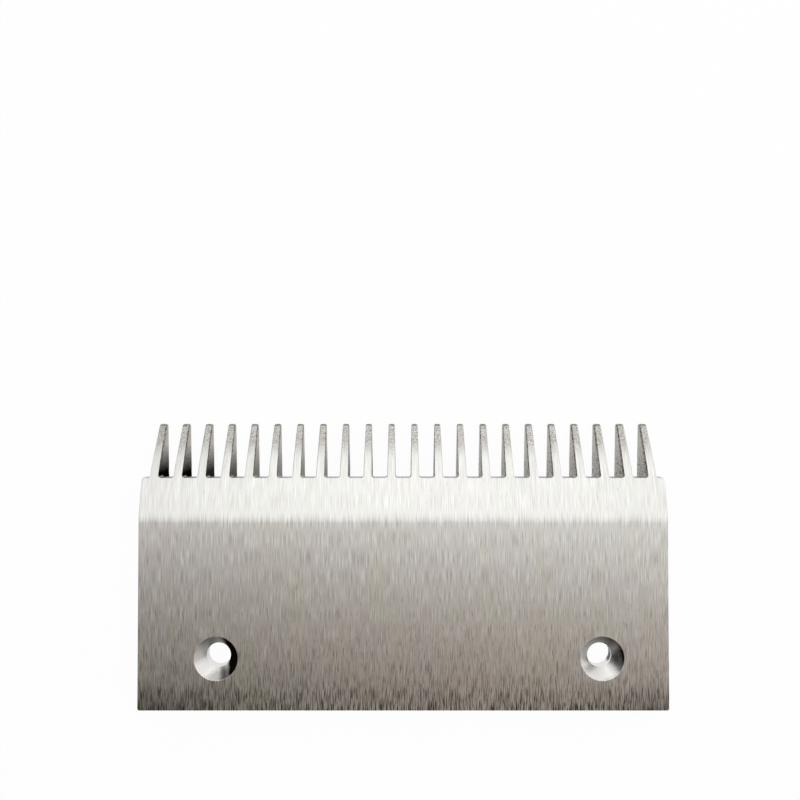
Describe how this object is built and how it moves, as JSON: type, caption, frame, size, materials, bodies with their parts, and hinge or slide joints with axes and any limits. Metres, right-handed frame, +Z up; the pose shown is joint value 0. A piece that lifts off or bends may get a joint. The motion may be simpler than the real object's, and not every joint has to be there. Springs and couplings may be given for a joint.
{
  "type": "escalator comb plate",
  "caption": "Flat aluminium escalator comb plate: a row of tapered teeth along a rounded front edge, with countersunk screw holes near the rear edge.",
  "frame": {"origin": "middle of the plate's outline seen from above, on the plane of the tooth feet, the ribs and the rear foot", "axes": "+X along the row of teeth, +Y from the rear edge to the tooth tips, +Z up out of the deck"},
  "size_m": [0.1994, 0.1072, 0.014],
  "materials": {
    "milled_aluminium": "linished, with fine scratches from the rear edge to the teeth"
  },
  "bodies": {
    "root": {"comb_plate": "milled_aluminium"}
  },
  "joints": []
}
